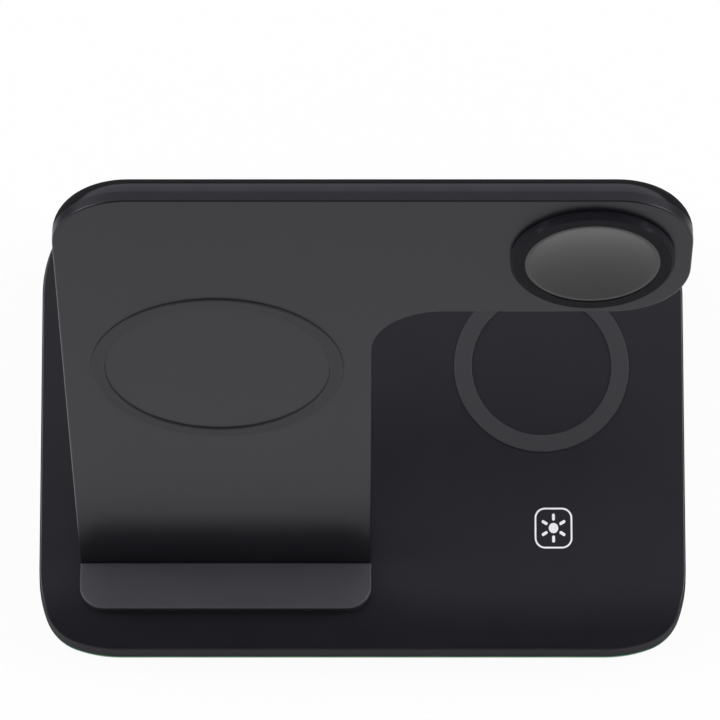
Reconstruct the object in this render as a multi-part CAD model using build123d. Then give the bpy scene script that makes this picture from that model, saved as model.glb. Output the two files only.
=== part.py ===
from build123d import *
import math
import os

# Three in one wireless charger: a flat base with an earbud place and a touch key, and a leaning
# inverted-L stand with a phone ledge and with a watch charger on its arm.
# Millimetres. The origin is the middle of the base's footprint on the table, +X right, +Y back, +Z up.

# Base housing
base_width = 148.0
base_depth = 101.0
base_height = 13.0
wall_draft = 2.5
corner_radius = 11.0
blend_radius = 29.5
blend_angle = 20.0
base_edge_radius = 0.6
base_wall = 2.0
base_top_wall = 2.2
front_slope_angle = 10.0
front_slope_width = 4.2
front_roll_width = 9.6

# Underside and feet
foot_proud = 0.8
foot_recess = 0.8
foot_diameter = 12.0
foot_bevel = 0.4
foot_inset = 14.0
bottom_plate = 1.8

# Light ring at the foot of the wall, its strip and lamps
ring_proud = 0.15
ring_width = 3.65
ring_lift = 0.2
flange_height = 1.0
flange_lap = 2.4
seam_gap = 0.1
lamp_thickness = 0.8
lamp_length = 3.5
lamp_height = 1.4
lamp_gap = 0.2
lamp_count = 7
lamp_pitch = 15.0
strip_thickness = 0.3
strip_height = 2.8
strip_rear_margin = 30.0
rim_thickness = 1.5

# Cover screws under the feet, and their posts
post_diameter = 7.0
post_root = 0.5
screw_web = 1.2
screw_shank = 2.5
screw_head_diameter = 5.0
screw_head_height = 1.2
screw_depth = 6.0
screw_clearance = 0.1

# Main board in the rear of the base
board_thickness = 1.6
board_width = 56.0
board_depth = 36.0
board_wall_gap = 0.3
board_right = 10.0
standoff_height = 2.0
standoff_diameter = 5.0
standoff_inset = 4.0
standoff_gap = 0.3
peg_diameter = 2.4
peg_proud = 0.8
peg_clearance = 0.1
choke_size = 6.0
choke_height = 2.8
choke_pitch = 12.0
choke_count = 3
chip_size = 5.0
chip_height = 0.9
capacitor_diameter = 4.0
capacitor_height = 2.6

# Inlet socket
socket_width = 8.94
socket_height = 3.26
socket_length = 7.4
socket_wall = 0.35
socket_back = 1.6
socket_setback = 0.4
socket_clearance = 0.25
tongue_width = 6.7
tongue_thickness = 0.7
tongue_setback = 0.8

# Touch key under the printed mark
key_from_right = 30.5
key_from_front = 28.0
key_board_width = 16.0
key_board_depth = 12.0
key_post_diameter = 4.0
electrode_size = 7.0

# Ballast plate on the bottom cover
ballast_thickness = 2.0
ballast_from_left = 17.5
ballast_gap = 4.0
ballast_radius = 3.0

# Earbud place
earbud_from_right = 33.0
earbud_from_rear = 35.5
earbud_pad_diameter = 40.0
earbud_pad_width = 4.0
earbud_pad_proud = 0.4
earbud_coil_diameter = 40.0
earbud_coil_bore = 18.0
earbud_coil_height = 1.2
earbud_ferrite_diameter = 44.0
earbud_ferrite_height = 1.0
pad_recess = 0.6
pad_gap = 0.05
pad_bevel = 0.2

# Stand: a leaning housing, measured on its face along X and up the slope
stand_tilt = 68.0
stand_from_left = 9.95
stand_from_front = 19.7
stand_length = 145.2
pillar_width = 66.0
arm_reach = 66.1
arm_height = 41.2
arm_end_radius = 16.0
arm_inner_radius = 15.0
arm_end_land = 0.5
stand_back_radius = 5.0
stand_side_land = 0.4
stand_side_wall = 3.0
stand_back_wall = 1.8
root_height = 9.0
plate_thickness = 2.4
plate_edge_radius = 0.4
plate_gap = 0.15
rib_width = 1.0
rib_height = 0.9

# Phone ledge
ledge_lift = 2.0
ledge_reach = 11.45
ledge_wall = 1.8
ledge_corner_radius = 5.5
ledge_pad_thickness = 0.8
ledge_pad_radius = 0.3

# Clamp of the stand to the base
tenon_side = 2.0
tenon_shoulder = 1.0
tenon_radius = 2.9
tenon_length = 4.0
tenon_gap = 0.15
clamp_screw_spread = 20.0
clamp_screw_depth = 4.6
clamp_post_diameter = 5.0
clamp_post_gap = 0.6
bracket_thickness = 1.5
bracket_margin = 4.5
duct_width = 8.0
duct_depth = 2.7

# Phone coils in the pillar
phone_coil_diameter = 42.0
phone_coil_bore = 20.0
phone_coil_height = 2.0
phone_coil_low = 38.0
phone_coil_spacing = 44.0
phone_coil_gap = 0.1
phone_ferrite_height = 1.5
phone_ferrite_margin = 3.0
phone_ferrite_radius = 4.0
phone_pad_diameter = 54.0
phone_pad_width = 3.0
phone_pad_proud = 0.4

# Watch charger in the arm
bezel_diameter = 34.0
bezel_proud = 1.8
bezel_bevel = 0.6
spigot_diameter = 29.6
spigot_tail = 0.6
cap_diameter = 28.0
cap_gap = 0.1
cap_seat = 0.8
cap_seat_width = 1.1
cap_middle = 0.8
cap_rim_drop = 0.2
cap_land = 0.8
watch_coil_bore = 12.0
watch_coil_height = 1.4
watch_coil_gap = 0.4
watch_ferrite_height = 1.0
watch_magnet_diameter = 11.0
watch_board_width = 24.0
watch_board_depth = 14.0
watch_board_thickness = 1.0

# Flat bands of leads between the coils, the boards and the light strip
lead_width = 4.0
lead_thickness = 1.0
lead_bend = 1.2
lead_turn = 3.0
lead_landing = 2.0
lead_margin = 0.6

# Heights and places worked out from the sizes above
floor_top = foot_proud + bottom_plate
ceiling = base_height - base_top_wall
board_bottom = floor_top + standoff_height
board_top = board_bottom + board_thickness
flange_inset = base_wall + seam_gap
plate_inset = ring_width - ring_proud + seam_gap
strip_inset = plate_inset + flange_lap + lamp_gap + lamp_thickness
rim_inset = strip_inset + strip_thickness
half_width = base_width / 2
half_depth = base_depth / 2
key_x = half_width - key_from_right
key_y = -half_depth + key_from_front
earbud_x = half_width - earbud_from_right
earbud_y = half_depth - earbud_from_rear
screw_seat = foot_proud + foot_recess + screw_head_height
post_bottom = screw_seat + screw_web
board_left = board_right - board_width
board_rear = half_depth - base_wall - board_wall_gap
board_front = board_rear - board_depth

tilt = math.radians(stand_tilt)
cavity_depth = plate_thickness + phone_coil_gap + phone_coil_height + phone_ferrite_height
stand_thickness = cavity_depth + stand_back_wall
pillar_left = -half_width + stand_from_left
pillar_right = pillar_left + pillar_width
pillar_middle = pillar_left + pillar_width / 2
arm_tip = pillar_right + arm_reach
arm_under = stand_length - arm_height
arm_middle = stand_length - arm_height / 2
watch_x = arm_tip - arm_height / 2
stand_foot_y = -half_depth + stand_from_front
stand_foot_z = base_height + ledge_lift
stand_heel_y = stand_foot_y - ledge_lift / math.tan(tilt)
tenon_depth = stand_thickness / math.sin(tilt) - 2 * tenon_shoulder
tenon_y = stand_heel_y + tenon_shoulder + tenon_depth / 2
tenon_width = pillar_width - 2 * tenon_side
tenon_bottom = ceiling - tenon_length
clamp_row = tenon_depth / 2 + tenon_gap + clamp_post_gap + clamp_post_diameter / 2
bracket_depth = 2 * clamp_row + clamp_post_diameter
bracket_width = 2 * clamp_screw_spread + 2 * bracket_margin
bracket_bottom = tenon_bottom - bracket_thickness
ballast_front = tenon_y + bracket_depth / 2 + ballast_gap
ballast_rear = board_front - ballast_gap
lead_on_board = board_top + lead_thickness / 2
watch_board_x = (pillar_right + watch_x - bezel_diameter / 2) / 2
panel = Plane((0, stand_foot_y, stand_foot_z), x_dir=(1, 0, 0), z_dir=(0, -math.sin(tilt), math.cos(tilt)))
ledge_plane = Plane((0, 0, 0), x_dir=(1, 0, 0), z_dir=(0, -1, 0))


def between(sketch, low, high):
    """A flat sketch raised from one height to another."""
    return extrude(Pos(Z=low) * sketch, high - low)


def ring(outer, inner, low, high):
    """A flat ring, or a coil's winding, between two heights."""
    return between(Circle(outer / 2) - Circle(inner / 2), low, high)


def disc(diameter, low, high):
    """A round plate, pin or bore between two heights."""
    return between(Circle(diameter / 2), low, high)


def group(solids):
    """Like pieces kept as separate solids in one node."""
    return Compound(children=[solid.solid() for solid in solids])


def base_outline(inset=0.0):
    """Plan of the base: straight sides, and corners of three tangent arcs, drawn in by an even margin."""
    turn = math.radians(blend_angle)
    spread = math.cos(turn) - math.sin(turn)
    reach = blend_radius * (1 - spread) + corner_radius * spread
    arcs = (
        (blend_radius, blend_angle),
        (corner_radius, 90 - 2 * blend_angle),
        (blend_radius, blend_angle),
    )
    point = Vector(-half_width + reach, -half_depth + inset)
    heading = Vector(1, 0)
    edges = []
    for side in (base_width, base_depth, base_width, base_depth):
        edges.append(Line(point, point + heading * (side - 2 * reach)))
        for radius, angle in arcs:
            edges.append(JernArc(edges[-1] @ 1, heading, radius - inset, angle))
            heading = edges[-1] % 1
        point = edges[-1] @ 1
    return make_face(edges)


def front_relief():
    """What is taken off the base's top at the front: a gentle roll that runs out in a straight slope."""
    slope = math.radians(front_slope_angle)
    start = Vector(-half_depth + front_slope_width + front_roll_width, base_height)
    roll = JernArc(start, (-1, 0), front_roll_width / math.sin(slope), front_slope_angle)
    run = front_slope_width + base_wall
    ramp = Line(roll @ 1, roll @ 1 + Vector(-run, -run * math.tan(slope)))
    lid = Polyline(ramp @ 1, ((ramp @ 1).X, 2 * base_height), (start.X, 2 * base_height), start)
    return extrude(Plane.YZ * make_face([roll, ramp, lid]), base_width, both=True)


def base_block(inset, drop):
    """The base's outer form above its floor, drawn in by a wall and lowered by a top wall."""
    block = extrude(Pos(Z=floor_top) * base_outline(inset), base_height - drop - floor_top, taper=wall_draft)
    return block - Pos(Z=-drop) * front_relief()


def foot_places():
    """Places of the four feet, and of the cover screws that they hide."""
    x = half_width - foot_inset
    y = half_depth - foot_inset
    return [(i * x, j * y) for i in (-1, 1) for j in (-1, 1)]


def socket_outline(margin=0.0):
    """The inlet's rounded mouth in the rear wall, seen from behind."""
    height = socket_height + 2 * margin
    mouth = Plane((0, half_depth, board_top + socket_height / 2), x_dir=(-1, 0, 0), z_dir=(0, 1, 0))
    return mouth * SlotOverall(socket_width + 2 * margin, height)


def base_top_cover():
    """Upper half of the base: walls, sloped front, stand slot, posts, inlet hole and pad recess."""
    shell = base_block(0, 0)
    steep = 0.5
    sides = shell.faces().filter_by(lambda face: abs(face.normal_at().Z) < steep)
    rim = sides.edges().filter_by(lambda edge: edge.bounding_box().min.Z > floor_top + base_edge_radius)
    shell = fillet(rim, base_edge_radius)
    shell -= base_block(base_wall, base_top_wall)
    for x, y in foot_places():
        shell += Pos(x, y) * disc(post_diameter, post_bottom, ceiling + post_root)
        shell -= Pos(x, y) * disc(screw_shank + screw_clearance, post_bottom, post_bottom + screw_depth)
    shell -= stand_tenon(tenon_gap, ceiling, base_height)
    for x, y in clamp_post_places():
        shell += Pos(x, y) * disc(clamp_post_diameter, tenon_bottom, ceiling + post_root)
        shell -= Pos(x, y) * clamp_bore()
    shell -= extrude(socket_outline(socket_clearance), 2 * base_wall, both=True)
    recess = ring(
        earbud_pad_diameter + 2 * pad_gap,
        earbud_pad_diameter - 2 * earbud_pad_width - 2 * pad_gap,
        base_height - pad_recess,
        base_height,
    )
    return shell - Pos(earbud_x, earbud_y) * recess


def base_bottom_cover():
    """Lower cover: floor, rim for the light strip, board posts with pegs, foot recesses, screw holes."""
    floor = between(base_outline(plate_inset), foot_proud, floor_top)
    floor += light_wall(rim_inset, rim_thickness)
    for x, y in board_post_places():
        floor += Pos(x, y) * disc(standoff_diameter, floor_top, board_bottom)
        floor += Pos(x, y) * disc(peg_diameter, board_bottom, board_top + peg_proud)
    for x in key_post_places():
        floor += Pos(x, key_y) * disc(key_post_diameter, floor_top, board_bottom)
    for x, y in foot_places():
        floor += Pos(x, y) * disc(post_diameter, floor_top, post_bottom)
        floor -= Pos(x, y) * disc(foot_diameter + 2 * pad_gap, foot_proud, foot_proud + foot_recess)
        floor -= Pos(x, y) * disc(screw_head_diameter + 2 * screw_clearance, foot_proud, screw_seat)
        floor -= Pos(x, y) * disc(screw_shank + 2 * screw_clearance, screw_seat, post_bottom)
    return floor


def light_wall(inset, thickness):
    """A low wall that follows the base's outline along the front and the sides, open at the rear."""
    wall = base_outline(inset) - base_outline(inset + thickness)
    rear = Pos(Y=half_depth) * Rectangle(base_width, 2 * strip_rear_margin)
    return between(wall - rear, floor_top, floor_top + strip_height)


def light_ring():
    """Clear ring under the wall: its outer step shows as a line, its flange lies on the bottom cover."""
    step = base_outline(-ring_proud) - base_outline(ring_width - ring_proud)
    flange = base_outline(flange_inset) - base_outline(plate_inset + flange_lap)
    visible = between(step, foot_proud + ring_lift, floor_top)
    return visible + between(flange, floor_top, floor_top + flange_height)


def led_strip():
    """Flexible light strip, stuck to the outside of the bottom cover's rim."""
    return light_wall(strip_inset, strip_thickness)


def lamps():
    """A row of lamps on the strip, facing the light ring's flange along the front."""
    y = -half_depth + strip_inset - lamp_thickness / 2
    lamp = Pos(Y=y) * Rectangle(lamp_length, lamp_thickness)
    solid = between(lamp, floor_top, floor_top + lamp_height)
    first = -lamp_pitch * (lamp_count - 1) / 2
    return group([Pos(X=first + i * lamp_pitch) * solid for i in range(lamp_count)])


def foot_pads():
    """Four round soft feet, let into the bottom cover over its screws."""
    foot = disc(foot_diameter, 0, foot_proud + foot_recess)
    foot = chamfer(foot.edges().sort_by(Axis.Z)[0], foot_bevel)
    return group([Pos(x, y) * foot for x, y in foot_places()])


def screw(seat, tip):
    """A screw that points up: its head under the seat, its plain shank up to the tip."""
    head = disc(screw_head_diameter, seat - screw_head_height, seat)
    return head + disc(screw_shank, seat, tip - screw_clearance)


def base_screws():
    """Screws that hold the two covers together, under the feet."""
    solid = screw(screw_seat, post_bottom + screw_depth)
    return group([Pos(x, y) * solid for x, y in foot_places()])


def ballast_plate():
    """Steel weight on the bottom cover, between the front posts, the main board and the touch key."""
    left = -half_width + ballast_from_left
    right = key_x - key_board_width / 2 - ballast_gap
    plan = RectangleRounded(right - left, ballast_rear - ballast_front, ballast_radius)
    plate = between(plan, floor_top, floor_top + ballast_thickness)
    return Pos((left + right) / 2, (ballast_front + ballast_rear) / 2) * plate


def board_post_places():
    """Places of the four posts and pegs under the main board."""
    xs = (board_left + standoff_inset, board_right - standoff_inset)
    flange_edge = half_depth - plate_inset - flange_lap
    ys = (board_front + standoff_inset, flange_edge - standoff_gap - standoff_diameter / 2)
    return [(x, y) for x in xs for y in ys]


def main_board():
    """Circuit board on the bottom cover's posts, held by their pegs."""
    middle = Pos((board_left + board_right) / 2, (board_front + board_rear) / 2)
    plan = middle * Rectangle(board_width, board_depth)
    for x, y in board_post_places():
        plan -= Pos(x, y) * Circle(peg_diameter / 2 + peg_clearance)
    return between(plan, board_bottom, board_top)


def board_components():
    """Chokes, controller chips and capacitors, one column of each kind for every coil."""
    row = board_front + board_depth / 2
    first = (board_left + board_right) / 2 - choke_pitch * (choke_count - 1) / 2 - choke_pitch / 2
    choke = between(Rectangle(choke_size, choke_size), board_top, board_top + choke_height)
    chip = between(Rectangle(chip_size, chip_size), board_top, board_top + chip_height)
    capacitor = disc(capacitor_diameter, board_top, board_top + capacitor_height)
    solids = []
    for i in range(choke_count):
        x = first + i * choke_pitch
        solids.append(Pos(x, row + choke_size) * choke)
        solids.append(Pos(x, row - chip_size / 2) * chip)
        solids.append(Pos(x, row - chip_size - capacitor_diameter) * capacitor)
    return group(solids)


def usb_c_socket():
    """Inlet on the board's rear edge: a rounded shell, closed at the back, with a contact tongue."""
    rear = Pos(Y=-socket_setback)
    shell = rear * extrude(socket_outline(), -socket_length)
    shell -= rear * extrude(socket_outline(-socket_wall), socket_back - socket_length)
    tongue = Pos(0, half_depth - socket_setback - socket_length, board_top + socket_height / 2) * Box(
        tongue_width,
        socket_length - tongue_setback,
        tongue_thickness,
        align=(Align.CENTER, Align.MIN, Align.CENTER),
    )
    return shell + tongue


def key_post_places():
    """Two posts under the touch key's board."""
    return [key_x + i * (key_board_width - key_post_diameter) / 2 for i in (-1, 1)]


def touch_board():
    """Small board of the touch key."""
    plan = Pos(key_x, key_y) * Rectangle(key_board_width, key_board_depth)
    return between(plan, board_bottom, board_top)


def touch_electrode():
    """Foil-wrapped foam block that stands on the touch board and meets the cover under the printed mark."""
    plan = Pos(key_x, key_y) * Rectangle(electrode_size, electrode_size)
    return between(plan, board_top, ceiling)


def earbud_coil():
    """Flat winding against the ceiling under the earbud place."""
    coil = ring(earbud_coil_diameter, earbud_coil_bore, ceiling - earbud_coil_height, ceiling)
    return Pos(earbud_x, earbud_y) * coil


def earbud_ferrite():
    """Ferrite disc under the earbud coil."""
    top = ceiling - earbud_coil_height
    return Pos(earbud_x, earbud_y) * disc(earbud_ferrite_diameter, top - earbud_ferrite_height, top)


def soft_ring(diameter, width, low, high):
    """A soft ring with bevelled upper edges."""
    pad = ring(diameter, diameter - 2 * width, low, high)
    return chamfer(pad.faces().sort_by(Axis.Z)[-1].edges(), pad_bevel)


def earbud_pad():
    """Soft ring let into the base's top at the earbud place."""
    low = base_height - pad_recess
    pad = soft_ring(earbud_pad_diameter, earbud_pad_width, low, base_height + earbud_pad_proud)
    return Pos(earbud_x, earbud_y) * pad


def stand_outline(inset, foot):
    """The stand's inverted L on its face, drawn in by an even margin, with a square foot."""
    left = pillar_left + inset
    right = pillar_right - inset
    tip = arm_tip - inset
    under = arm_under + inset
    top = stand_length - inset
    end = min(arm_end_radius, arm_height / 2 - arm_end_land) - inset
    corners = [(left, foot), (right, foot), (right, under), (tip, under), (tip, top), (left, top)]
    radii = [0, 0, arm_inner_radius + inset, end, end, end]
    return make_face(FilletPolyline(corners, radius=radii, close=True))


def stand_tenon(margin, low, high):
    """The stand's tongue through the base's top, or its slot when a margin is given."""
    plan = RectangleRounded(tenon_width + 2 * margin, tenon_depth + 2 * margin, tenon_radius + margin)
    return Pos(pillar_middle, tenon_y) * between(plan, low, high)


def tenon_screw_places():
    """Screws up into the tenon, one on each side of the lead duct."""
    return [(pillar_middle + i * clamp_screw_spread, tenon_y) for i in (-1, 1)]


def clamp_post_places():
    """Posts under the base's top, in front of the tenon and behind it, that the bracket is screwed to."""
    return [(x, y + j * clamp_row) for x, y in tenon_screw_places() for j in (-1, 1)]


def clamp_bore():
    """Bore for a screw of the bracket."""
    return disc(screw_shank + screw_clearance, tenon_bottom, tenon_bottom + clamp_screw_depth)


def ledge_plan(back, inset=0.0):
    """Plan of the phone ledge before the stand's face, with rounded front corners, drawn in by a wall."""
    left = pillar_left + inset
    right = pillar_right - inset
    front = ledge_reach - inset
    corners = [(left, back), (right, back), (right, front), (left, front)]
    radii = [0, 0, ledge_corner_radius - inset, ledge_corner_radius - inset]
    return ledge_plane * make_face(FilletPolyline(corners, radius=radii, close=True))


def ledge_block(back, inset, depth):
    """The ledge's form from a depth below its top straight down into the base, drawn in by a wall."""
    plan = Pos(Y=-depth) * ledge_plan(back, inset)
    return extrude(panel * plan, base_height, dir=(0, 0, -1))


def stand_body():
    """Moulded rear housing of the stand: rounded back, coil cavity, hollow ledge on the base, tenon."""
    foot = -stand_thickness
    body = between(stand_outline(0, foot), -stand_thickness, -plate_thickness)
    heel = body.faces().sort_by(Axis.Y)[0].edges()
    back = body.faces().sort_by(Axis.Z)[0].edges()
    radius = min(stand_back_radius, stand_thickness - plate_thickness - stand_side_land)
    body = fillet([edge for edge in back if edge not in heel], radius)
    body -= between(stand_outline(stand_side_wall, root_height), -cavity_depth, -plate_thickness)
    body = panel * body + ledge_block(-stand_thickness / 2, 0, ledge_pad_thickness)
    body -= between(base_outline(), -base_height, base_height) - front_relief()
    body -= ledge_block(0, ledge_wall, ledge_pad_thickness + ledge_wall)
    body += stand_tenon(0, tenon_bottom, base_height + post_root)
    for x, y in tenon_screw_places():
        body -= Pos(x, y) * clamp_bore()
    return body - lead_duct()


def lead_duct():
    """Passage for the coil leads, from the stand's cavity down through its tenon."""
    duct = Pos(pillar_middle, 0, -cavity_depth) * Box(
        duct_width, 2 * root_height + base_height, duct_depth, align=(Align.CENTER, Align.CENTER, Align.MIN))
    return panel * duct


def ledge_pad():
    """Soft pad over the ledge's whole top, with a rounded outer edge."""
    pad = extrude(ledge_plan(plate_gap), ledge_pad_thickness)
    outer = pad.faces().sort_by(Axis.Y)[-1].edges().sort_by(Axis.Z)[1:]
    return panel * fillet(outer, ledge_pad_radius)


def stand_front_plate():
    """Flat inverted-L plate over the stand's whole face, with a locating rib that fits into the housing."""
    foot = plate_gap - ledge_pad_thickness
    plate = between(stand_outline(0, foot), -plate_thickness, 0)
    edges = plate.faces().sort_by(Axis.Z)[-1].edges().sort_by(Axis.Y)[1:]
    plate = fillet(edges, plate_edge_radius)
    outer = stand_outline(stand_side_wall + plate_gap, root_height + plate_gap)
    inner = stand_outline(stand_side_wall + plate_gap + rib_width, root_height + plate_gap + rib_width)
    plate += between(outer - inner, -plate_thickness - rib_height, -plate_thickness)
    plate -= Pos(watch_x, arm_middle) * disc(spigot_diameter + 2 * cap_gap, -plate_thickness, 0)
    recess = ring(
        phone_pad_diameter + 2 * pad_gap,
        phone_pad_diameter - 2 * phone_pad_width - 2 * pad_gap,
        -pad_recess,
        0,
    )
    return panel * (plate - Pos(pillar_middle, phone_coil_low + phone_coil_spacing) * recess)


def stand_bracket():
    """Steel plate that clamps the stand from inside the base, with its screw holes and lead hole."""
    plan = Pos(pillar_middle, tenon_y) * Rectangle(bracket_width, bracket_depth)
    for x, y in tenon_screw_places() + clamp_post_places():
        plan -= Pos(x, y) * Circle(screw_shank / 2 + screw_clearance)
    return between(plan, bracket_bottom, tenon_bottom) - lead_duct()


def stand_screws():
    """Screws through the bracket, two into the stand's tenon and four into the base's posts."""
    solid = screw(bracket_bottom, tenon_bottom + clamp_screw_depth)
    return group([Pos(x, y) * solid for x, y in tenon_screw_places() + clamp_post_places()])


def phone_ring_pad():
    """Soft ring let into the front plate, over the upper phone coil."""
    pad = soft_ring(phone_pad_diameter, phone_pad_width, -pad_recess, phone_pad_proud)
    return panel * Pos(pillar_middle, phone_coil_low + phone_coil_spacing) * pad


def phone_ferrite():
    """Ferrite sheet on the stand's back wall, behind both phone coils."""
    width = phone_coil_diameter + 2 * phone_ferrite_margin
    plan = RectangleRounded(width, width + phone_coil_spacing, phone_ferrite_radius)
    sheet = between(plan, -cavity_depth, -cavity_depth + phone_ferrite_height)
    return panel * Pos(pillar_middle, phone_coil_low + phone_coil_spacing / 2) * sheet


def phone_coil(up):
    """One of the two flat windings on the ferrite sheet."""
    low = -cavity_depth + phone_ferrite_height
    coil = ring(phone_coil_diameter, phone_coil_bore, low, low + phone_coil_height)
    return panel * Pos(pillar_middle, phone_coil_low + up) * coil


def on_watch(piece):
    """A piece turned about the watch charger's axis, put in its place on the arm."""
    return panel * Pos(watch_x, arm_middle) * piece


def watch_bezel():
    """Raised ring of the watch charger, with a spigot through the front plate and a seat for the cap."""
    flange = ring(bezel_diameter, cap_diameter + 2 * cap_gap, 0, bezel_proud)
    crown = flange.faces().sort_by(Axis.Z)[-1].edges().sort_by(SortBy.LENGTH)[-1]
    flange = chamfer(crown, bezel_bevel)
    bore = cap_diameter - 2 * cap_seat_width
    spigot = ring(spigot_diameter, cap_diameter + 2 * cap_gap, -cap_seat, 0)
    tail = ring(spigot_diameter, bore, -plate_thickness - spigot_tail, -cap_seat)
    return on_watch(flange + spigot + tail)


def watch_cap():
    """Dished cap of the watch charger: a disc hollowed by a large ball, with a flat land round the hollow."""
    rim = bezel_proud - cap_rim_drop
    middle = cap_middle - cap_seat
    land = cap_diameter / 2 - cap_land
    rise = rim - middle
    dish_radius = (land ** 2 + rise ** 2) / (2 * rise)
    ball = Pos(Z=middle + dish_radius) * Rot(X=90) * Sphere(dish_radius)
    return on_watch(disc(cap_diameter, -cap_seat, rim) - ball)


def watch_coil_diameter():
    """Outside of the watch coil, which fits into the spigot."""
    return cap_diameter - 2 * cap_seat_width - 2 * watch_coil_gap


def watch_coil():
    """Flat winding under the dished cap."""
    return on_watch(ring(watch_coil_diameter(), watch_coil_bore, -cap_seat - watch_coil_height, -cap_seat))


def watch_ferrite():
    """Ferrite disc behind the watch coil."""
    top = -cap_seat - watch_coil_height
    return on_watch(disc(watch_coil_diameter(), top - watch_ferrite_height, top))


def watch_magnet():
    """Round magnet in the middle of the watch coil."""
    return on_watch(disc(watch_magnet_diameter, -cap_seat - watch_coil_height, -cap_seat))


def watch_board():
    """Small driver board on the arm's back wall, between the pillar and the watch charger."""
    plan = Pos(watch_board_x, arm_middle) * Rectangle(watch_board_width, watch_board_depth)
    return panel * between(plan, -cavity_depth, -cavity_depth + watch_board_thickness)


def upright_band(plane, points):
    """A flat band of leads along straight runs and round bends, drawn from its edge."""
    edge = trace(FilletPolyline(points, radius=lead_bend), lead_thickness)
    return extrude(plane * edge, lead_width / 2, both=True)


def flat_band(points, low, high):
    """A flat band of leads along straight runs and round turns, drawn in plan."""
    return between(trace(FilletPolyline(points, radius=lead_turn), lead_width), low, high)


def stand_leads():
    """Leads from the phone coils down the duct, under the bracket and over the ballast to the main board."""
    depth = -cavity_depth + phone_ferrite_height + lead_thickness / 2
    top = panel.from_local_coords(Vector(0, phone_coil_low - phone_coil_diameter / 2, depth))
    under = (floor_top + bracket_bottom) / 2
    on_ballast = floor_top + ballast_thickness + lead_thickness / 2
    points = [
        (top.Y, top.Z),
        (top.Y - (top.Z - under) / math.tan(tilt), under),
        (ballast_front - ballast_gap, under),
        (ballast_front - lead_margin, on_ballast),
        (ballast_rear, on_ballast),
        (board_front - lead_margin, lead_on_board),
        (board_front + lead_landing, lead_on_board),
    ]
    return Pos(X=pillar_middle) * upright_band(Plane.YZ, points)


def arm_leads():
    """Leads from the watch board along the arm, down beside the phone coils and across to the duct."""
    beside = phone_coil_diameter / 2 + phone_ferrite_margin
    x = (pillar_middle + beside + pillar_right - stand_side_wall) / 2
    low = (root_height + phone_coil_low - beside) / 2
    points = [
        (watch_board_x - watch_board_width / 2, arm_middle),
        (x, arm_middle),
        (x, low),
        (pillar_middle - lead_width / 2, low),
    ]
    return panel * flat_band(points, -cavity_depth, -cavity_depth + phone_ferrite_height)


def watch_leads():
    """Leads from the watch board to the back of the watch coil."""
    on_board = -cavity_depth + watch_board_thickness + lead_thickness / 2
    behind = -cap_seat - watch_coil_height - watch_ferrite_height - lead_thickness / 2
    right = watch_board_x + watch_board_width / 2
    points = [
        (right - lead_landing, on_board),
        (right + lead_margin, on_board),
        (watch_x - spigot_diameter / 2 - lead_margin, behind),
        (watch_x - watch_coil_diameter() / 2 + lead_landing, behind),
    ]
    return panel * Pos(Y=arm_middle) * upright_band(ledge_plane, points)


def earbud_leads():
    """Leads from the earbud coil's rim down to the main board."""
    height = ceiling - earbud_coil_height / 2
    points = [
        (earbud_x - earbud_coil_diameter / 2, height),
        (earbud_x - earbud_ferrite_diameter / 2 - lead_margin, height),
        (board_right + lead_margin, lead_on_board),
        (board_right - lead_landing, lead_on_board),
    ]
    return Pos(Y=earbud_y) * upright_band(ledge_plane, points)


def touch_leads():
    """Leads from the touch board, past the bracket's end, to the main board, flat on both boards."""
    x = pillar_middle + bracket_width / 2 + lead_margin + lead_width / 2
    y = key_y + lead_width / 2
    points = [
        (key_x - key_board_width / 2 + lead_landing, y),
        (x, y),
        (x, board_front + lead_landing),
    ]
    return flat_band(points, board_top, board_top + lead_thickness)


def light_leads():
    """Leads from the light strip's left end, over its rim, to the main board."""
    height = floor_top + strip_height + lead_thickness / 2
    points = [
        (-half_width + strip_inset, height),
        (-half_width + rim_inset + rim_thickness, height),
        (board_left - lead_margin, lead_on_board),
        (board_left + lead_landing, lead_on_board),
    ]
    return Pos(Y=half_depth - strip_rear_margin - lead_width) * upright_band(ledge_plane, points)


nodes = {
    "base_top_cover": base_top_cover(),
    "base_bottom_cover": base_bottom_cover(),
    "light_ring": light_ring(),
    "led_strip": led_strip(),
    "lamps": lamps(),
    "foot_pads": foot_pads(),
    "base_screws": base_screws(),
    "ballast_plate": ballast_plate(),
    "main_board": main_board(),
    "board_components": board_components(),
    "usb_c_socket": usb_c_socket(),
    "touch_board": touch_board(),
    "touch_electrode": touch_electrode(),
    "earbud_coil": earbud_coil(),
    "earbud_ferrite": earbud_ferrite(),
    "earbud_pad": earbud_pad(),
    "stand_body": stand_body(),
    "stand_front_plate": stand_front_plate(),
    "stand_bracket": stand_bracket(),
    "stand_screws": stand_screws(),
    "ledge_pad": ledge_pad(),
    "phone_ring_pad": phone_ring_pad(),
    "phone_ferrite": phone_ferrite(),
    "phone_coil_lower": phone_coil(0),
    "phone_coil_upper": phone_coil(phone_coil_spacing),
    "watch_bezel": watch_bezel(),
    "watch_cap": watch_cap(),
    "watch_coil": watch_coil(),
    "watch_ferrite": watch_ferrite(),
    "watch_magnet": watch_magnet(),
    "watch_board": watch_board(),
    "stand_leads": stand_leads(),
    "arm_leads": arm_leads(),
    "watch_leads": watch_leads(),
    "earbud_leads": earbud_leads(),
    "touch_leads": touch_leads(),
    "light_leads": light_leads(),
}

os.makedirs("parts", exist_ok=True)
for name, shape in nodes.items():
    export_step(shape, f"parts/{name}.step")
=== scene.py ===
import math

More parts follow.
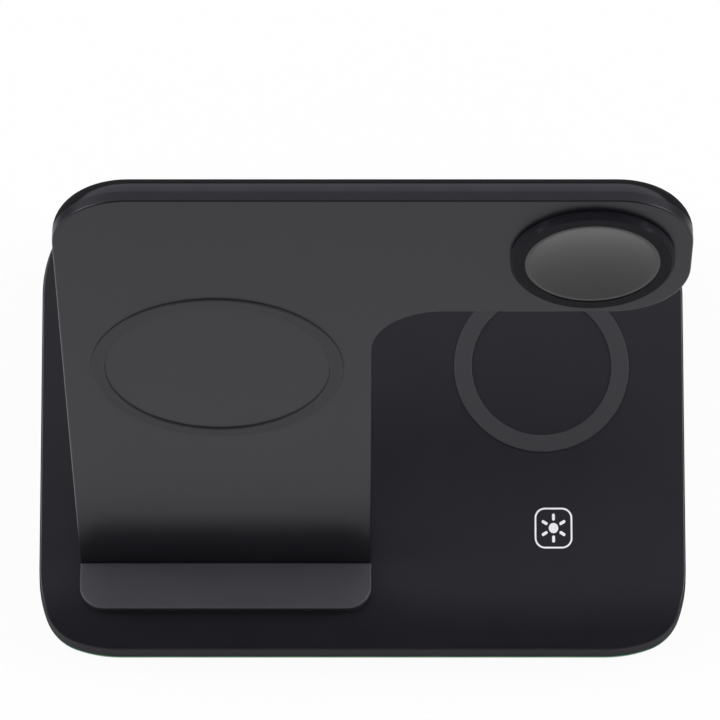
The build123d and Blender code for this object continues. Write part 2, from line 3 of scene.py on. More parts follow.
import bpy
import numpy as np
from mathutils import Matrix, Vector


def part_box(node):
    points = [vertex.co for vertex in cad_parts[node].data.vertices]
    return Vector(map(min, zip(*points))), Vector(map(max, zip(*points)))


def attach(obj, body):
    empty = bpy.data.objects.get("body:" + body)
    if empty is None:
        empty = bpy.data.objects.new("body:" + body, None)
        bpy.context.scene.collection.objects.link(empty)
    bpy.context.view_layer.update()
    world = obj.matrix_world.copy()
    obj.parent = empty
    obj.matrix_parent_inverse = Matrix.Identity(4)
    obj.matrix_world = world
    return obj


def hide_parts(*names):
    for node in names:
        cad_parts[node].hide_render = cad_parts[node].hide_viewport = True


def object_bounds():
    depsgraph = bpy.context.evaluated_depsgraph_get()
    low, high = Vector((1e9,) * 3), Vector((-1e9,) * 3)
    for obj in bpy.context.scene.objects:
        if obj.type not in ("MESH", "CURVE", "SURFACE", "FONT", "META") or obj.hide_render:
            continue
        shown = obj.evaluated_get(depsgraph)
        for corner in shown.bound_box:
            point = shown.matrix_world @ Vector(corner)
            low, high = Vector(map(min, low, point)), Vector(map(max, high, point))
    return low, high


# Three in one wireless charger: finishes, printed mark, windings, contacts and studio round the CAD frame.
# Metres, +X right, +Y back, +Z up.

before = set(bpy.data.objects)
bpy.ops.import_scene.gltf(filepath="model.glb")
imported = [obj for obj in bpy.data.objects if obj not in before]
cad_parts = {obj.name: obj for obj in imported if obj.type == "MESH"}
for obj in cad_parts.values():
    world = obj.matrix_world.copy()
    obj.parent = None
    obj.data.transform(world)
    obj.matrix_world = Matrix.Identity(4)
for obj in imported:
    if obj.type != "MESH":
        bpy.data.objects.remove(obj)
cad_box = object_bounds()
scene = bpy.context.scene
MM = 0.001

# Camera: high above the base and a little in front of it, with a long lens
CAMERA_PLACE = (-0.00059, -0.20044, 1.16428)
CAMERA_ELEVATION = math.radians(79.33)
CAMERA_LENS_MM = 255.5
CAMERA_SENSOR_MM = 36.0
CAMERA_SEES_TO = 20.0

# Printed touch mark on the base's top: a rounded frame round a sun that is a little narrower than tall
MARK_WIDTH = 8.6 * MM
MARK_HEIGHT = 9.4 * MM
MARK_CORNER = 2.4 * MM
MARK_LINE = 0.4 * MM
MARK_FILM = 0.03 * MM
MARK_CORNER_STEPS = 16
SUN_RADIUS = 1.18 * MM
SUN_SQUEEZE = (0.92, 1.0)
SUN_STEPS = 48
RAY_INNER = 1.72 * MM
RAY_OUTER = 3.34 * MM
RAY_WIDTH = 0.72 * MM
RAY_CORNER_STEPS = 8
RAY_ANGLES = (90, 30, -30, -90, -150, 150)

# Windings: lean of the stand's face from level, and the bore, wire thickness and layers of each coil
STAND_TILT = math.radians(68.0)
PHONE_WINDING = (20.0 * MM, 1.0 * MM, 2)
EARBUD_WINDING = (18.0 * MM, 1.2 * MM, 1)
WATCH_WINDING = (12.0 * MM, 0.7 * MM, 2)
STEPS_PER_TURN = 60
WIRE_SIDES = 8

# Contacts on the inlet's tongue, twelve on each face
CONTACT_COUNT = 12
CONTACT_PITCH = 0.5 * MM
CONTACT_WIDTH = 0.28 * MM
CONTACT_LENGTH = 3.2 * MM
CONTACT_FILM = 0.02 * MM
CONTACT_CORNER_STEPS = 4
TONGUE_SETBACK = 0.8 * MM
TONGUE_THICKNESS = 0.7 * MM
TONGUE_WIDTH = 6.7 * MM
TONGUE_BLEND = 0.05 * MM

# Light ring: where its glow starts and is full, measured to the back, its strength between the lamps and
# before them, and the lamps' pitch
GLOW_START = -36 * MM
GLOW_FULL = -48 * MM
GLOW_BETWEEN = 0.09
GLOW_AT_LAMP = 0.13
LAMP_PITCH = 15 * MM

# Rows of cases on the main board, in shares of their depth: where the cans end and where the chokes begin
CANS_END = (0.20, 0.24)
CHOKES_BEGIN = (0.62, 0.66)

# Moulded parts: soft patches in shade and gloss, and how far the roughness strays with them
PATCH_SIZE = 9 * MM
PATCH_ROUGHNESS = 0.03

# Upward part of a wall's direction at which the mould's texture turns from matt to satin
MATT_BELOW = 0.7
SATIN_ABOVE = 0.78

# Grain of the black plastic and the faint violet cast of its reflections
ABS_GRAIN = 0.35 * MM
ABS_TINT = (0.97, 0.94, 1.0, 1.0)

# Plated metal: width of its streaks, and how far the roughness strays with them
STREAK_WIDTH = 0.3 * MM
STREAK_ROUGHNESS = 0.06

# Studio: a round white sweep, a softbox at each side and a dim sky that brightens towards the back
SWEEP_FLAT = 1.7
SWEEP_BEND = 0.7
SWEEP_WALL = 0.95
SWEEP_DROP = 0.02 * MM
SWEEP_FLAT_STEPS = 8
SWEEP_BEND_STEPS = 16
SWEEP_STEPS = 96
SWEEP_WHITE = 0.94
SOFTBOX_PLACE = (1.6, 0.2, 0.95)
SOFTBOX_SIZE = 1.0
SOFTBOX_WATTS = 22
SKY_FRONT = 0.02
SKY_BACK = 0.9
SKY_TURNS = (-0.15, 0.25)

# Painted shade on a strip of the sweep behind the object, which only reflections show: its level, and how far
# back it sets in, is full, begins to clear and has cleared
SHADE_LEVEL = 0.1
SHADE_START = 0.02
SHADE_FULL = 0.1
SHADE_LEAVES = 0.25
SHADE_ENDS = 0.7


def colour(code):
    """An sRGB hex value as linear red, green, blue and alpha."""
    srgb = np.array([int(code[i:i + 2], 16) for i in (0, 2, 4)]) / 255
    linear = np.where(srgb <= 0.04045, srgb / 12.92, ((srgb + 0.055) / 1.055) ** 2.4)
    return (*linear.tolist(), 1.0)


def add(tree, kind, inputs=None, **settings):
    """Adds a node with its settings; an input is a plain value or another node's output to link."""
    made = tree.nodes.new(kind)
    for key, value in settings.items():
        setattr(made, key, value)
    for key, value in (inputs or {}).items():
        if isinstance(value, bpy.types.NodeSocket):
            tree.links.new(value, made.inputs[key])
        else:
            made.inputs[key].default_value = value
    return made


def new_material(name, **constants):
    """A material with one Principled shader and its constant sockets set, with its tree and shader."""
    material = bpy.data.materials.new(name)
    material.use_nodes = True
    shader = material.node_tree.nodes["Principled BSDF"]
    for key, value in constants.items():
        shader.inputs[key.replace("_", " ")].default_value = value
    return material, material.node_tree, shader


def dress(tree, shader, tint, shades, wear, roughness, height, depth, strength=0.25):
    """Drives a shader with patterns that run from nought to one: tint takes the colour from one shade to
    the other, wear takes the roughness from one value to the other, and height is relief of a real depth.
    Returns the colour and the roughness."""
    dark, light = (colour(code) for code in shades)
    body = add(tree, "ShaderNodeMix", {"Factor": tint, 6: dark, 7: light}, data_type="RGBA").outputs[2]
    gloss = add(tree, "ShaderNodeMapRange", {"Value": wear, "To Min": roughness[0], "To Max": roughness[1]})
    bump = add(tree, "ShaderNodeBump", {"Height": height, "Strength": strength, "Distance": depth})
    tree.links.new(body, shader.inputs["Base Color"])
    tree.links.new(gloss.outputs[0], shader.inputs["Roughness"])
    tree.links.new(bump.outputs["Normal"], shader.inputs["Normal"])
    return body, gloss.outputs[0]


def moulded(name, dark, light, gloss, grain, depth, sides=None, **constants):
    """A part straight from its mould or press: near-even shade, slightly varied gloss and a fine grain.
    Where sides gives a roughness and a shade, walls that face sideways or down get that coarser roughness,
    and that shade as their colour, which is painted shade where it is darker than the top."""
    material, tree, shader = new_material(name, **constants)
    place = add(tree, "ShaderNodeTexCoord").outputs["Object"]
    patches = add(tree, "ShaderNodeTexNoise", {"Vector": place, "Scale": 1 / PATCH_SIZE}).outputs["Fac"]
    grains = add(tree, "ShaderNodeTexNoise", {
        "Vector": place, "Scale": 1 / grain, "Detail": 1.0}).outputs["Fac"]
    strays = (gloss - PATCH_ROUGHNESS, gloss + PATCH_ROUGHNESS)
    body, roughness = dress(tree, shader, patches, (dark, light), patches, strays, grains, depth)
    if sides:
        side_roughness, side_painted_shade = sides
        facing = add(tree, "ShaderNodeNewGeometry").outputs["Normal"]
        upward = add(tree, "ShaderNodeSeparateXYZ", {"Vector": facing}).outputs["Z"]
        upward_share = add(tree, "ShaderNodeMapRange", {
            "Value": upward, "From Min": MATT_BELOW, "From Max": SATIN_ABOVE},
            interpolation_type="SMOOTHSTEP").outputs[0]
        # Colour of the walls by their direction: the side shade, a painted shade where it is darker than the
        # top
        mix = add(tree, "ShaderNodeMix", {"Factor": upward_share, 6: colour(side_painted_shade), 7: body}, data_type="RGBA")
        level = add(tree, "ShaderNodeMapRange", {
            "Value": upward_share, "To Min": side_roughness, "To Max": roughness})
        tree.links.new(mix.outputs[2], shader.inputs["Base Color"])
        tree.links.new(level.outputs[0], shader.inputs["Roughness"])
    return material


def lit_acrylic():
    """Smoked acrylic light guide, moulded and frosted: dark where unlit, with a dim green glow along its
    front that swells a little before each lamp."""
    material, tree, shader = new_material("smoked_acrylic_frosted", IOR=1.49, Roughness=0.5,
                                          Specular_IOR_Level=0.25, Emission_Color=colour("45d08a"))
    place = add(tree, "ShaderNodeTexCoord").outputs["Object"]
    parts = add(tree, "ShaderNodeSeparateXYZ", {"Vector": place}).outputs
    smoke = add(tree, "ShaderNodeTexNoise", {"Vector": place, "Scale": 1 / (6 * MM)}).outputs["Fac"]
    body = add(tree, "ShaderNodeMix", {
        "Factor": smoke, 6: colour("101c15"), 7: colour("14221a")}, data_type="RGBA")
    tree.links.new(body.outputs[2], shader.inputs["Base Color"])
    front = add(tree, "ShaderNodeMapRange", {
        "Value": parts["Y"], "From Min": GLOW_START, "From Max": GLOW_FULL}, interpolation_type="SMOOTHSTEP")
    turn = add(tree, "ShaderNodeMath", {0: parts["X"], 1: 2 * math.pi / LAMP_PITCH}, operation="MULTIPLY")
    wave = add(tree, "ShaderNodeMath", {0: turn.outputs[0]}, operation="COSINE")
    swell = add(tree, "ShaderNodeMapRange", {
        "Value": wave.outputs[0], "From Min": -1.0, "To Min": GLOW_BETWEEN, "To Max": GLOW_AT_LAMP})
    level = add(tree, "ShaderNodeMath", {0: front.outputs[0], 1: swell.outputs[0]}, operation="MULTIPLY")
    tree.links.new(level.outputs[0], shader.inputs["Emission Strength"])
    return material


def solder_mask():
    """Glass-fibre board under green solder mask: glossy green, paler where copper lies under the mask.
    Tracks are drawn about a millimetre wide, coarser than real ones, so that they show."""
    material, tree, shader = new_material("solder_mask_green", Specular_IOR_Level=0.5)
    place = add(tree, "ShaderNodeTexCoord").outputs["Object"]
    cells = add(tree, "ShaderNodeTexVoronoi", {"Vector": place, "Scale": 1 / (3 * MM)}, distance="MANHATTAN")
    tracks = add(tree, "ShaderNodeMapRange", {
        "Value": cells.outputs["Distance"], "From Min": 0.35, "From Max": 0.5,
        "To Min": 1.0, "To Max": 0.0}).outputs[0]
    flow = add(tree, "ShaderNodeTexNoise", {"Vector": place, "Scale": 1 / (4 * MM)}).outputs["Fac"]
    dress(tree, shader, tracks, ("12402a", "1f5e3c"), flow, (0.28, 0.38), tracks, 0.03 * MM, 0.4)
    return material


def component_cases():
    """Cases on the main board, told apart by their row: aluminium cans in front, epoxy chips in the middle,
    ferrite chokes behind."""
    material, tree, shader = new_material("component_cases")
    low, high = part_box("board_components")
    depth = high.y - low.y
    place = add(tree, "ShaderNodeTexCoord").outputs["Object"]
    back = add(tree, "ShaderNodeSeparateXYZ", {"Vector": place}).outputs["Y"]
    rows = []
    for (start, end), in_front in ((CANS_END, 1.0), (CHOKES_BEGIN, 0.0)):
        rows.append(add(tree, "ShaderNodeMapRange", {
            "Value": back, "From Min": low.y + start * depth, "From Max": low.y + end * depth,
            "To Min": in_front, "To Max": 1 - in_front}).outputs[0])
    can, choke = rows
    grit = add(tree, "ShaderNodeTexNoise", {"Vector": place, "Scale": 1 / (0.4 * MM)}).outputs["Fac"]
    dark = dress(tree, shader, choke, ("141416", "37373a"), grit, (0.4, 0.6), grit, 0.02 * MM)[0]
    mix = add(tree, "ShaderNodeMix", {"Factor": can, 6: dark, 7: colour("c4c6c9")}, data_type="RGBA")
    tree.links.new(mix.outputs[2], shader.inputs["Base Color"])
    tree.links.new(can, shader.inputs["Metallic"])
    return material


def enamelled_wire():
    """Stranded copper wire in clear enamel: warm metal with slanting strands, drawn coarser than real."""
    material, tree, shader = new_material("enamelled_copper_wire", Metallic=1.0, Coat_Weight=0.4)
    along = add(tree, "ShaderNodeUVMap", uv_map="along_wire").outputs["UV"]
    strands = add(tree, "ShaderNodeTexWave", {"Vector": along, "Scale": 1.6, "Distortion": 0.3},
                  bands_direction="DIAGONAL").outputs["Fac"]
    dress(tree, shader, strands, ("8f4c26", "c47a45"), strands, (0.4, 0.28), strands, 0.05 * MM, 0.5)
    return material


def conductive_cloth():
    """Nickel-coated cloth round the touch key's foam: a dull silver plain weave, drawn at half a millimetre,
    coarser than real, so that it shows."""
    material, tree, shader = new_material("conductive_cloth_woven", Metallic=0.8)
    place = add(tree, "ShaderNodeTexCoord").outputs["Object"]
    weave = add(tree, "ShaderNodeTexChecker", {"Vector": place, "Scale": 1 / (0.5 * MM)}).outputs["Fac"]
    dress(tree, shader, weave, ("8c8c8e", "a9a9ab"), weave, (0.45, 0.6), weave, 0.04 * MM, 0.5)
    return material


def plated_metal(name, dark, light, gloss, brushed):
    """Plated sheet or turned steel: bright metal with faint streaks of the given length along X."""
    material, tree, shader = new_material(name, Metallic=1.0)
    place = add(tree, "ShaderNodeTexCoord").outputs["Object"]
    stretch = add(tree, "ShaderNodeMapping", {
        "Vector": place, "Scale": (1 / brushed, 1 / STREAK_WIDTH, 1 / STREAK_WIDTH)}).outputs["Vector"]
    streaks = add(tree, "ShaderNodeTexNoise", {"Vector": stretch, "Scale": 1.0}).outputs["Fac"]
    strays = (gloss - STREAK_ROUGHNESS, gloss + STREAK_ROUGHNESS)
    dress(tree, shader, streaks, (dark, light), streaks, strays, streaks, 0.01 * MM)
    return material


def inlet_metal():
    """Inlet: bright drawn shell, plated with nickel, and a black moulded tongue in its mouth's middle."""
    material, tree, shader = new_material("nickel_shell_and_tongue")
    low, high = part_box("usb_c_socket")
    place = add(tree, "ShaderNodeTexCoord").outputs["Object"]
    parts = add(tree, "ShaderNodeSeparateXYZ", {"Vector": place}).outputs
    level = (low.z + high.z) / 2
    lift = add(tree, "ShaderNodeMath", {0: parts["Z"], 1: level}, operation="SUBTRACT").outputs[0]
    inside = []
    for value, half in ((parts["X"], TONGUE_WIDTH / 2), (lift, TONGUE_THICKNESS / 2)):
        away = add(tree, "ShaderNodeMath", {0: value}, operation="ABSOLUTE").outputs[0]
        inside.append(add(tree, "ShaderNodeMapRange", {
            "Value": away, "From Min": half + TONGUE_BLEND, "From Max": half + 2 * TONGUE_BLEND,
            "To Min": 1.0, "To Max": 0.0}).outputs[0])
    tongue = add(tree, "ShaderNodeMath", {0: inside[0], 1: inside[1]}, operation="MULTIPLY").outputs[0]
    scuffs = add(tree, "ShaderNodeTexNoise", {"Vector": place, "Scale": 1 / (0.6 * MM)}).outputs["Fac"]
    dress(tree, shader, tongue, ("b9b6b0", "101012"), scuffs, (0.24, 0.36), scuffs, 0.005 * MM)
    plated = add(tree, "ShaderNodeMath", {0: 1.0, 1: tongue}, operation="SUBTRACT").outputs[0]
    tree.links.new(plated, shader.inputs["Metallic"])
    return material


def polygon_object(name, points, faces, material):
    """A mesh object at the origin from an array of points and a list of faces, riding on the one body."""
    mesh = bpy.data.meshes.new(name)
    mesh.from_pydata(points.tolist(), [], faces)
    mesh.materials.append(material)
    piece = bpy.data.objects.new(name, mesh)
    scene.collection.objects.link(piece)
    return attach(piece, "root")


def grid_faces(rows, columns, close_rows=False, close_columns=False):
    """Quads between neighbours of a rows by columns grid, wrapped round where a direction closes."""
    i = np.arange(rows if close_rows else rows - 1)
    j = np.arange(columns if close_columns else columns - 1)
    i, j = (a.ravel() for a in np.meshgrid(i, j, indexing="ij"))
    down = (i + 1) % rows
    right = (j + 1) % columns
    corners = [i * columns + j, i * columns + right, down * columns + right, down * columns + j]
    return np.stack(corners, axis=1)


def rounded_frame(width, height, corner, count):
    """Closed loop of a rounded rectangle: quarter arcs of the corner radius about the four corner centres."""
    turn = np.linspace(0, np.pi / 2, count) + np.arange(4)[:, None] * np.pi / 2
    side_x = np.array([1, -1, -1, 1])[:, None] * (width / 2 - corner)
    side_y = np.array([1, 1, -1, -1])[:, None] * (height / 2 - corner)
    return np.stack([side_x + corner * np.cos(turn), side_y + corner * np.sin(turn)], axis=-1).reshape(-1, 2)


def film(outer, inner, low, high):
    """A closed film: a loop of four corners (inner low, outer low, outer high, inner high) carried along
    two outlines."""
    section = [(inner, low), (outer, low), (outer, high), (inner, high)]
    rings = np.stack([np.column_stack([line, np.full(len(line), z)]) for line, z in section])
    return rings.reshape(-1, 3), grid_faces(4, len(outer), close_rows=True, close_columns=True)


def films(name, shapes, material):
    """One piece of several films, each given by its outer and inner outline and its two heights."""
    points, faces, start = [], [], 0
    for outer, inner, low, high in shapes:
        made, quads = film(outer, inner, low, high)
        points.append(made)
        faces.append(quads + start)
        start += len(made)
    return polygon_object(name, np.concatenate(points), np.concatenate(faces).tolist(), material)


def touch_mark(material):
    """Printed sun in a rounded frame over the touch electrode, as thin films of ink on the base's top: two
    rounded rectangles one in the other, a circle, and six rounded bars turned about its centre."""
    low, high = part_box("touch_electrode")
    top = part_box("base_top_cover")[1].z
    middle = np.array([(low.x + high.x) / 2, (low.y + high.y) / 2])
    edge = rounded_frame(MARK_WIDTH, MARK_HEIGHT, MARK_CORNER, MARK_CORNER_STEPS)
    inset = rounded_frame(MARK_WIDTH - 2 * MARK_LINE, MARK_HEIGHT - 2 * MARK_LINE, MARK_CORNER - MARK_LINE,
                          MARK_CORNER_STEPS)
    turn = np.linspace(0, 2 * np.pi, SUN_STEPS, endpoint=False)
    circle = np.column_stack([np.cos(turn), np.sin(turn)]) * SUN_SQUEEZE
    outlines = [(edge, inset), (circle * SUN_RADIUS, circle * 0)]
    ray = rounded_frame(RAY_OUTER - RAY_INNER, RAY_WIDTH, RAY_WIDTH / 2, RAY_CORNER_STEPS)
    ray += [(RAY_INNER + RAY_OUTER) / 2, 0]
    for angle in np.radians(RAY_ANGLES):
        spin = np.array([[np.cos(angle), np.sin(angle)], [-np.sin(angle), np.cos(angle)]])
        outline = ray @ spin * SUN_SQUEEZE
        outlines.append((outline, outline * 0 + outline.mean(axis=0)))
    shapes = [(outer + middle, inner + middle, top, top + MARK_FILM) for outer, inner in outlines]
    return films("touch_mark", shapes, material)


def wound_coil(name, node, tilt, winding, material):
    """A flat coil wound from one wire. The radius falls evenly from the rim to the bore and, where there is
    a second layer, grows back; the wire's round section is carried along, in the plane of the radius and
    the axis."""
    bore, wire, layers = winding
    low, high = (np.array(corner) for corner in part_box(node))
    outer = (high[0] - low[0]) / 2 - wire / 2
    inner = bore / 2 + wire / 2
    turns = round((outer - inner) / wire) * layers
    t = np.linspace(0, 1, turns * STEPS_PER_TURN + 1)
    swing = np.abs(1 - 2 * t) if layers == 2 else 1 - t
    radius = inner + (outer - inner) * swing
    step = np.clip((t - 0.5) * turns + 0.5, 0, 1)
    lift = wire * (step - 0.5) if layers == 2 else 0 * t
    angle = 2 * np.pi * turns * t
    around = np.linspace(0, 2 * np.pi, WIRE_SIDES, endpoint=False)
    r = radius[:, None] + wire / 2 * np.cos(around)
    z = lift[:, None] + wire / 2 * np.sin(around)
    flat_x = r * np.cos(angle)[:, None]
    flat_y = r * np.sin(angle)[:, None]
    points = np.stack([
        flat_x,
        flat_y * math.cos(tilt) - z * math.sin(tilt),
        flat_y * math.sin(tilt) + z * math.cos(tilt),
    ], axis=-1)
    points = points.reshape(-1, 3) + (low + high) / 2
    faces = grid_faces(len(t), WIRE_SIDES, close_columns=True).tolist()
    faces.append(list(range(WIRE_SIDES)))
    faces.append(list(range(len(points) - 1, len(points) - 1 - WIRE_SIDES, -1)))
    piece = polygon_object(name, points, faces, material)
    along = np.repeat(np.cumsum(2 * np.pi * radius / STEPS_PER_TURN / wire)[:, None], WIRE_SIDES, axis=1)
    across = np.repeat(np.arange(WIRE_SIDES)[None, :] / WIRE_SIDES, len(t), axis=0)
    uv = np.stack([along, across], axis=-1).reshape(-1, 2)
    corner = np.empty(len(piece.data.loops), int)
    piece.data.loops.foreach_get("vertex_index", corner)
    piece.data.uv_layers.new(name="along_wire").data.foreach_set("uv", uv[corner].ravel())
    piece.data.polygons.foreach_set("use_smooth", np.ones(len(piece.data.polygons), bool))
    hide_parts(node)


def inlet_contacts(material):
    """Gold contacts in a row on both faces of the inlet's tongue, as thin films with rounded ends."""
    low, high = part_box("usb_c_socket")
    strip = rounded_frame(CONTACT_WIDTH, CONTACT_LENGTH, CONTACT_WIDTH / 2, CONTACT_CORNER_STEPS)
    middle = [(low.x + high.x) / 2, high.y - TONGUE_SETBACK - CONTACT_WIDTH - CONTACT_LENGTH / 2]
    level = (low.z + high.z) / 2
    above = level + TONGUE_THICKNESS / 2
    below = level - TONGUE_THICKNESS / 2
    shapes = []
    for i in range(CONTACT_COUNT):
        outline = strip + middle + np.array([(i - (CONTACT_COUNT - 1) / 2) * CONTACT_PITCH, 0])
        centre = outline * 0 + outline.mean(axis=0)
        shapes.append((outline, centre, above, above + CONTACT_FILM))
        shapes.append((outline, centre, below - CONTACT_FILM, below))
    return films("inlet_contacts", shapes, material)


def place_camera():
    """The photograph's viewpoint: level, looking down at the base."""
    lens = bpy.data.cameras.new("camera")
    lens.sensor_width = CAMERA_SENSOR_MM
    lens.lens = CAMERA_LENS_MM
    lens.clip_end = CAMERA_SEES_TO
    camera = bpy.data.objects.new("camera", lens)
    camera.location = CAMERA_PLACE
    camera.rotation_euler = (math.pi / 2 - CAMERA_ELEVATION, 0, 0)
    scene.collection.objects.link(camera)
    scene.camera = camera


def white_paper():
    """Matt white paper: white to the eye, and it still takes the object's shadow. To reflections it is white
    but for a strip of painted shade close behind the object, where the object's own shade would lie."""
    material, tree, shader = new_material("white_paper_sweep", Roughness=0.9, Base_Color=colour("f4f4f4"))
    rays = add(tree, "ShaderNodeLightPath").outputs
    seen = rays["Is Camera Ray"]
    for ray in ("Is Glossy Ray", "Is Transmission Ray"):
        seen = add(tree, "ShaderNodeMath", {0: seen, 1: rays[ray]}, operation="MAXIMUM").outputs[0]
    share = add(tree, "ShaderNodeMath", {0: seen, 1: SWEEP_WHITE}, operation="MULTIPLY").outputs[0]
    place = add(tree, "ShaderNodeTexCoord").outputs["Object"]
    back = add(tree, "ShaderNodeSeparateXYZ", {"Vector": place}).outputs["Y"]
    # Painted shade: the glow is dimmed in a strip behind the object, for reflections only
    level = rays["Is Camera Ray"]
    for start, end, before, after in (
        (SHADE_START, SHADE_FULL, 1.0, SHADE_LEVEL),
        (SHADE_LEAVES, SHADE_ENDS, 0.0, 1.0),
    ):
        part = add(tree, "ShaderNodeMapRange", {
            "Value": back, "From Min": start, "From Max": end, "To Min": before, "To Max": after}).outputs[0]
        level = add(tree, "ShaderNodeMath", {0: level, 1: part}, operation="MAXIMUM").outputs[0]
    glow = add(tree, "ShaderNodeEmission", {"Color": colour("ffffff"), "Strength": level}).outputs[0]
    mix = add(tree, "ShaderNodeMixShader", {0: share, 1: shader.outputs[0], 2: glow})
    tree.links.new(mix.outputs[0], tree.nodes["Material Output"].inputs["Surface"])
    return material


def studio_sweep():
    """Round floor that bends up into a low wall: a profile of radius and height turned about Z."""
    flat = np.linspace(0, SWEEP_FLAT, SWEEP_FLAT_STEPS)
    bend = np.linspace(0, np.pi / 2, SWEEP_BEND_STEPS)[1:]
    radius = np.concatenate([flat, SWEEP_FLAT + SWEEP_BEND * np.sin(bend), [SWEEP_FLAT + SWEEP_BEND]])
    height = np.concatenate([flat * 0, SWEEP_BEND * (1 - np.cos(bend)), [SWEEP_WALL]]) - SWEEP_DROP
    turn = np.linspace(0, 2 * np.pi, SWEEP_STEPS, endpoint=False)
    points = np.stack(np.broadcast_arrays(
        np.outer(radius, np.cos(turn)), np.outer(radius, np.sin(turn)), height[:, None]), axis=-1)
    faces = grid_faces(len(radius), SWEEP_STEPS, close_columns=True)
    mesh = bpy.data.meshes.new("studio_sweep")
    mesh.from_pydata(points.reshape(-1, 3).tolist(), [], faces.tolist())
    mesh.materials.append(white_paper())
    mesh.polygons.foreach_set("use_smooth", np.ones(len(mesh.polygons), bool))
    sweep = bpy.data.objects.new("studio_sweep", mesh)
    scene.collection.objects.link(sweep)


def softbox(name, side):
    """A square area lamp on one side, which faces the middle of the object."""
    lamp = bpy.data.lights.new(name, "AREA")
    lamp.energy = SOFTBOX_WATTS
    lamp.size = SOFTBOX_SIZE
    box = bpy.data.objects.new(name, lamp)
    box.location = (side * SOFTBOX_PLACE[0], *SOFTBOX_PLACE[1:])
    centre = (cad_box[0] + cad_box[1]) / 2
    box.rotation_euler = (centre - box.location).to_track_quat("-Z", "Y").to_euler()
    box.visible_camera = False
    scene.collection.objects.link(box)


def sky():
    """Dim sky over the sweep, brighter behind the object than in front of it."""
    world = bpy.data.worlds.new("studio_sky")
    scene.world = world
    world.use_nodes = True
    tree = world.node_tree
    direction = add(tree, "ShaderNodeTexCoord").outputs["Generated"]
    back = add(tree, "ShaderNodeSeparateXYZ", {"Vector": direction}).outputs["Y"]
    level = add(tree, "ShaderNodeMapRange", {
        "Value": back, "From Min": SKY_TURNS[0], "From Max": SKY_TURNS[1],
        "To Min": SKY_FRONT, "To Max": SKY_BACK})
    tree.links.new(level.outputs["Result"], tree.nodes["Background"].inputs["Strength"])
    tree.nodes["Background"].inputs["Color"].default_value = colour("fbfaff")


scene.view_settings.view_transform = "Standard"
place_camera()
studio_sweep()
sky()
softbox("left_softbox", -1)
softbox("right_softbox", 1)

# ABS from a spark-eroded mould: soft black, satin where it faces up and dull on its side walls.
# The stand carries painted light: its greyer shades are a painted sheen on top, and its walls get a painted
# shade that makes them blacker.
# The grain is drawn at about a third of a millimetre, coarser than the real one, so that it shows.
housing_abs = moulded("abs_black_spark_textured", "19181d", "1d1c21", 0.3, ABS_GRAIN, 0.01 * MM,
                      sides=(1.0, "1b1a1f"), Specular_IOR_Level=0.3, Specular_Tint=ABS_TINT)
# Stand: greyer shades as a painted sheen on top, and a near-black painted shade (08080a) on its walls
stand_abs = moulded("abs_black_painted_sheen_and_shade", "29282e", "2d2c32", 0.3, ABS_GRAIN, 0.01 * MM,
                    sides=(1.0, "08080a"), Specular_IOR_Level=0.28, Specular_Tint=ABS_TINT)
plate_abs = moulded("abs_black_fine_textured", "19181d", "1d1c21", 0.3, ABS_GRAIN, 0.008 * MM,
                    Specular_IOR_Level=0.28, Specular_Tint=ABS_TINT)
underside_abs = moulded("abs_black_coarse_textured", "18171d", "1d1c22", 0.6, 0.5 * MM, 0.02 * MM,
                        Specular_IOR_Level=0.3, Specular_Tint=ABS_TINT)
# Silicone, pressed and left matt: greyer than the plastic and without clear highlights
ledge_silicone = moulded("silicone_grey_pressed", "35343a", "3b3a40", 0.6, 0.4 * MM, 0.015 * MM)
pad_silicone = moulded("silicone_black_pressed", "232227", "29282d", 0.65, 0.4 * MM, 0.015 * MM)
# Polycarbonate from a polished mould: deep black with clear reflections
cap_polycarbonate = moulded("polycarbonate_black_polished", "0d0d0f", "111113", 0.16, 0.5 * MM, 0.002 * MM)
# Sintered ferrite: dull dark grey with a fine open grain
ferrite = moulded("ferrite_sintered", "2a2a2c", "363638", 0.65, 0.3 * MM, 0.02 * MM)
# Screen ink: an even, slightly cool white film
white_ink = moulded("ink_white_screen_printed", "f0eef4", "f6f4fa", 0.5, 0.2 * MM, 0.002 * MM)
# Insulation of flat leads: soft grey vinyl, a little shiny
lead_vinyl = moulded("vinyl_grey_extruded", "8d8b8a", "a09e9c", 0.45, 0.6 * MM, 0.02 * MM)
# Polyimide strip: amber, smooth film
strip_film = moulded("polyimide_amber_film", "8a4f14", "a0601c", 0.3, 0.8 * MM, 0.005 * MM)
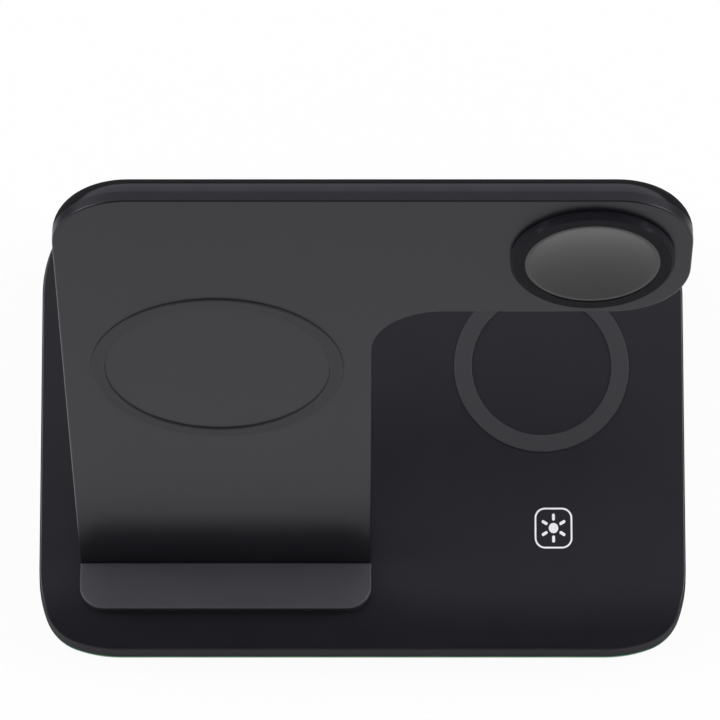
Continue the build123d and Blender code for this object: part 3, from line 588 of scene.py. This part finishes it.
# Lamp bodies: glossy white moulding
lamp_case = moulded("lamp_case_white_moulded", "d9dad6", "e6e7e3", 0.3, 0.4 * MM, 0.005 * MM)
# Gold flash over nickel: warm, smooth metal
gold = moulded("gold_flash_plated", "d8a94a", "e6bd66", 0.25, 0.2 * MM, 0.002 * MM, Metallic=1.0)
# Zinc on screws: pale grey, softly shining; zinc on rolled sheet: duller, with longer streaks
zinc = plated_metal("steel_zinc_plated", "9c9fa3", "b7babd", 0.36, 2 * MM)
galvanised = plated_metal("steel_sheet_galvanised", "8b8e91", "a6a9ac", 0.42, 12 * MM)
# Nickel on the magnet: brighter and warmer than the zinc
nickel = plated_metal("magnet_nickel_plated", "b0aca4", "c6c2ba", 0.22, 1 * MM)
copper = enamelled_wire()

finishes = {
    housing_abs: ("base_top_cover", "watch_bezel"),
    stand_abs: ("stand_body",),
    plate_abs: ("stand_front_plate",),
    underside_abs: ("base_bottom_cover",),
    ledge_silicone: ("ledge_pad",),
    pad_silicone: ("foot_pads", "earbud_pad", "phone_ring_pad"),
    cap_polycarbonate: ("watch_cap",),
    lit_acrylic(): ("light_ring",),
    strip_film: ("led_strip",),
    lamp_case: ("lamps",),
    zinc: ("base_screws", "stand_screws"),
    galvanised: ("ballast_plate", "stand_bracket"),
    nickel: ("watch_magnet",),
    inlet_metal(): ("usb_c_socket",),
    solder_mask(): ("main_board", "touch_board", "watch_board"),
    component_cases(): ("board_components",),
    conductive_cloth(): ("touch_electrode",),
    ferrite: ("earbud_ferrite", "phone_ferrite", "watch_ferrite"),
    lead_vinyl: ("stand_leads", "arm_leads", "watch_leads", "earbud_leads", "touch_leads", "light_leads"),
}
for material, names in finishes.items():
    for name in names:
        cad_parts[name].material_slots[0].material = material

touch_mark(white_ink)
inlet_contacts(gold)
for node, tilt, winding in (
    ("phone_coil_lower", STAND_TILT, PHONE_WINDING),
    ("phone_coil_upper", STAND_TILT, PHONE_WINDING),
    ("watch_coil", STAND_TILT, WATCH_WINDING),
    ("earbud_coil", 0.0, EARBUD_WINDING),
):
    wound_coil(node + "_winding", node, tilt, winding, copper)
